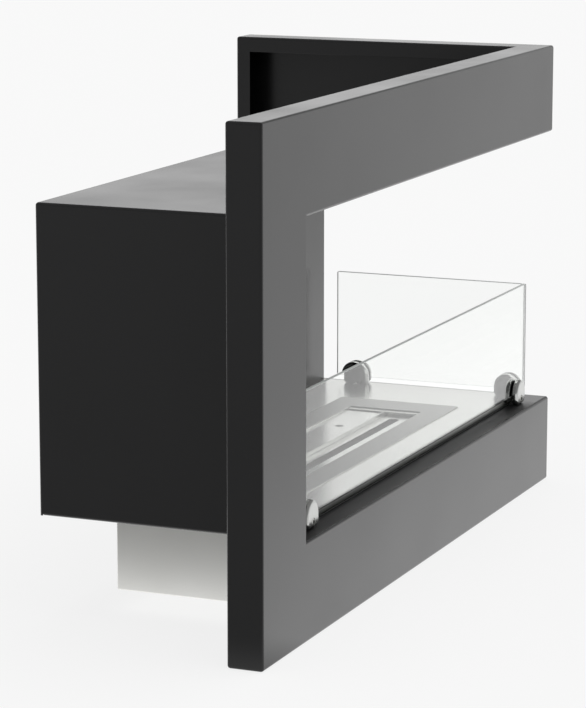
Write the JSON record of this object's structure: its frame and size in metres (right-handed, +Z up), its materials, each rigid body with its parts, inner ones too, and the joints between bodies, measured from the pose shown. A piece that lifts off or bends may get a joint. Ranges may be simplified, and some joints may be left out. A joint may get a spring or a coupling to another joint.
{
  "type": "corner fireplace",
  "caption": "Built-in corner fireplace: L-shaped sheet fascia, black casing, ethanol burner with a sliding lid, and low clamped glass along the two open sides.",
  "frame": {"origin": "centre of the bounding box, at the height of the fascia's underside", "axes": "+X along the front face towards the open corner, +Y from the front face towards the back wall, +Z up"},
  "size_m": [0.83, 0.375, 0.5],
  "materials": {
    "black_paint": "satin",
    "polished_steel": "polished",
    "brushed_steel": "brushed",
    "zinc_steel": "zinc plated",
    "clear_glass": "clear",
    "black_rubber": "matte",
    "ceramic_wool": "fibrous"
  },
  "bodies": {
    "root": {"front_fascia": "black_paint", "side_fascia": "black_paint", "corner_joiner_bottom": "zinc_steel", "corner_joiner_top": "zinc_steel", "casing_shell": "black_paint", "casing_roof": "black_paint", "casing_floor": "black_paint", "hearth_plate": "polished_steel", "roof_rivet_front_left": "zinc_steel", "roof_rivet_front_right": "zinc_steel", "roof_rivet_side_front": "zinc_steel", "roof_rivet_side_rear": "zinc_steel", "front_glass": "clear_glass", "side_glass": "clear_glass", "clamp_jaw_front_left": "polished_steel", "clamp_jaw_front_right": "polished_steel", "clamp_jaw_side_front": "polished_steel", "clamp_jaw_side_rear": "polished_steel", "clamp_base_front_left": "polished_steel", "clamp_base_front_right": "polished_steel", "clamp_base_side_front": "polished_steel", "clamp_base_side_rear": "polished_steel", "clamp_pad_outer_front_left": "black_rubber", "clamp_pad_outer_front_right": "black_rubber", "clamp_pad_outer_side_front": "black_rubber", "clamp_pad_outer_side_rear": "black_rubber", "clamp_pad_inner_front_left": "black_rubber", "clamp_pad_inner_front_right": "black_rubber", "clamp_pad_inner_side_front": "black_rubber", "clamp_pad_inner_side_rear": "black_rubber", "clamp_screw_front_left": "zinc_steel", "clamp_screw_front_right": "zinc_steel", "clamp_screw_side_front": "zinc_steel", "clamp_screw_side_rear": "zinc_steel", "clamp_mount_screw_front_left": "zinc_steel", "clamp_mount_screw_front_right": "zinc_steel", "clamp_mount_screw_side_front": "zinc_steel", "clamp_mount_screw_side_rear": "zinc_steel", "burner_housing": "brushed_steel"},
    "burner": {"burner_top": "polished_steel", "fuel_tank": "brushed_steel", "tank_baffle_left": "brushed_steel", "tank_baffle_right": "brushed_steel", "ceramic_wool_left": "ceramic_wool", "ceramic_wool_middle": "ceramic_wool", "ceramic_wool_right": "ceramic_wool", "wool_retainer": "brushed_steel", "lid_guide_left": "brushed_steel", "lid_guide_right": "brushed_steel"},
    "lid": {"burner_lid": "polished_steel"}
  },
  "joints": [
    {"name": "burner_lift", "type": "slide", "parent": "root", "child": "burner", "axis": [0, 0, 1], "range_m": [0, 0.21]},
    {"name": "lid_slide", "type": "slide", "parent": "burner", "child": "lid", "axis": [0, -1, 0], "range_m": [0, 0.0375]}
  ]
}
